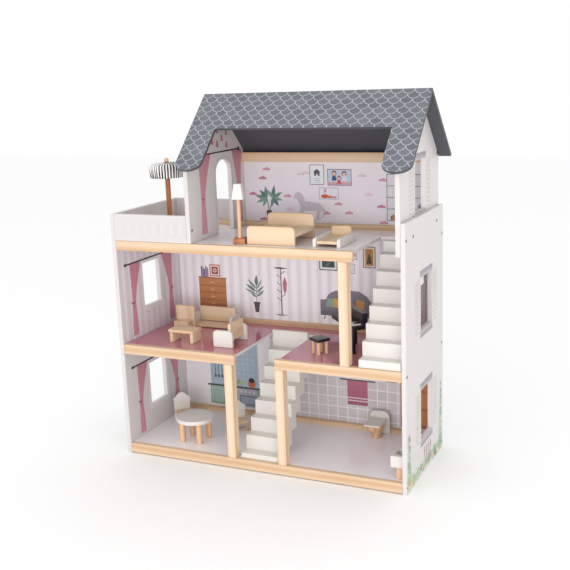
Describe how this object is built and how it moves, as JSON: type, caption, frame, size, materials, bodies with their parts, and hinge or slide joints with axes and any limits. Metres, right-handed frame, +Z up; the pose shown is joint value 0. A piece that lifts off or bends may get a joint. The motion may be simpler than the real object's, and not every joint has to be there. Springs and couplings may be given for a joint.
{
  "type": "wooden dollhouse",
  "caption": "Open-fronted wooden dollhouse on three floors with a gabled slate roof, balcony, staircases and loose wooden furniture.",
  "frame": {"origin": "middle of the whole outline, on the ground under the walls", "axes": "+X to the right seen from the open front, +Y from the open front to the back, +Z up to the ridge"},
  "size_m": [0.597, 0.2618, 0.6998],
  "materials": {
    "white_board": "satin white lacquered fibreboard with printed decoration",
    "printed_board": "satin printed fibreboard, pale lavender and white",
    "mauve_floor": "glossy mauve lacquered fibreboard",
    "pale_floor": "glossy pale grey lacquered fibreboard",
    "pine": "bare planed pine",
    "slate_board": "matt slate grey lacquered fibreboard with printed scales",
    "plywood": "bare sanded plywood",
    "white_wood": "satin white lacquered wood",
    "black_wood": "glossy black lacquered wood",
    "copper_wood": "copper brown lacquered wood",
    "striped_cloth": "cotton with black and white stripes",
    "screw_steel": "zinc plated countersunk screws"
  },
  "bodies": {
    "house": {"left_wall": "white_board", "right_wall": "white_board", "left_gable": "white_board", "right_gable": "white_board", "ground_floor": "pale_floor", "middle_floor": "mauve_floor", "attic_floor": "pale_floor", "ground_front_strip": "pine", "middle_front_strip_left": "pine", "middle_front_strip_right": "pine", "attic_front_strip": "pine", "ground_back_strip": "pine", "middle_back_strip": "pine", "attic_back_strip": "pine", "top_back_rail": "pine", "ground_post_left": "pine", "ground_post_right": "pine", "middle_post": "pine", "back_panel_ground": "printed_board", "back_panel_middle": "printed_board", "back_panel_attic": "printed_board", "balcony_front_rail": "printed_board", "balcony_back_rail": "printed_board", "lower_stairs": "white_board", "upper_stairs": "white_board", "roof_front_panel": "slate_board", "roof_back_panel": "slate_board"},
    "parasol": {"parasol_stand": "copper_wood", "parasol_canopy": "striped_cloth"},
    "lamp": {"lamp_stand": "copper_wood", "lamp_shade": "white_wood"},
    "bed": {"bed_footboard": "plywood", "bed_headboard": "plywood", "bed_platform": "plywood"},
    "lounger": {"lounger_rail_left": "white_wood", "lounger_rail_right": "white_wood", "lounger_seat": "plywood", "lounger_back": "plywood"},
    "coffee_table": {"coffee_table_top": "plywood", "coffee_table_leg_left": "plywood", "coffee_table_leg_right": "plywood"},
    "block_chair": {"block_chair": "plywood"},
    "sofa": {"sofa_left_end": "white_wood", "sofa_right_end": "white_wood", "sofa_seat": "plywood", "sofa_back": "plywood"},
    "armchair": {"armchair_left_end": "white_wood", "armchair_right_end": "white_wood", "armchair_seat": "plywood", "armchair_back": "plywood"},
    "stool": {"stool": "black_wood"},
    "piano": {"piano_body": "black_wood", "piano_keyboard": "white_wood"},
    "dining_table": {"dining_table": "white_wood"},
    "dining_chair_1": {"dining_chair_1": "white_wood"},
    "dining_chair_2": {"dining_chair_2": "white_wood"},
    "toilet": {"toilet_back": "white_wood", "toilet_seat": "white_wood", "toilet_bowl": "plywood"},
    "washbasin": {"washbasin": "white_wood"}
  },
  "joints": [
    {"name": "lamp_slide", "type": "slide", "parent": "house", "child": "lamp", "axis": [0, -1, 0], "range_m": [0, 0.15]},
    {"name": "bed_slide", "type": "slide", "parent": "house", "child": "bed", "axis": [0, -1, 0], "range_m": [0, 0.26]},
    {"name": "lounger_slide", "type": "slide", "parent": "house", "child": "lounger", "axis": [0, -1, 0], "range_m": [0, 0.2]},
    {"name": "coffee_table_slide", "type": "slide", "parent": "house", "child": "coffee_table", "axis": [0, -1, 0], "range_m": [0, 0.2]},
    {"name": "block_chair_slide", "type": "slide", "parent": "house", "child": "block_chair", "axis": [0, -1, 0], "range_m": [0, 0.3]},
    {"name": "armchair_slide", "type": "slide", "parent": "house", "child": "armchair", "axis": [0, -1, 0], "range_m": [0, 0.2]},
    {"name": "stool_slide", "type": "slide", "parent": "house", "child": "stool", "axis": [0, -1, 0], "range_m": [0, 0.15]},
    {"name": "dining_table_slide", "type": "slide", "parent": "house", "child": "dining_table", "axis": [0, -1, 0], "range_m": [0, 0.2]},
    {"name": "toilet_slide", "type": "slide", "parent": "house", "child": "toilet", "axis": [0, -1, 0], "range_m": [0, 0.3]},
    {"name": "washbasin_slide", "type": "slide", "parent": "house", "child": "washbasin", "axis": [0, -1, 0], "range_m": [0, 0.12]},
    {"name": "parasol_lift", "type": "slide", "parent": "house", "child": "parasol", "axis": [0, 0, 1], "range_m": [0, 0.16]},
    {"name": "sofa_lift", "type": "slide", "parent": "house", "child": "sofa", "axis": [0, 0, 1], "range_m": [0, 0.1]},
    {"name": "piano_lift", "type": "slide", "parent": "house", "child": "piano", "axis": [0, 0, 1], "range_m": [0, 0.1]},
    {"name": "dining_chair_1_lift", "type": "slide", "parent": "house", "child": "dining_chair_1", "axis": [0, 0, 1], "range_m": [0, 0.1]},
    {"name": "dining_chair_2_lift", "type": "slide", "parent": "house", "child": "dining_chair_2", "axis": [0, 0, 1], "range_m": [0, 0.1]}
  ]
}
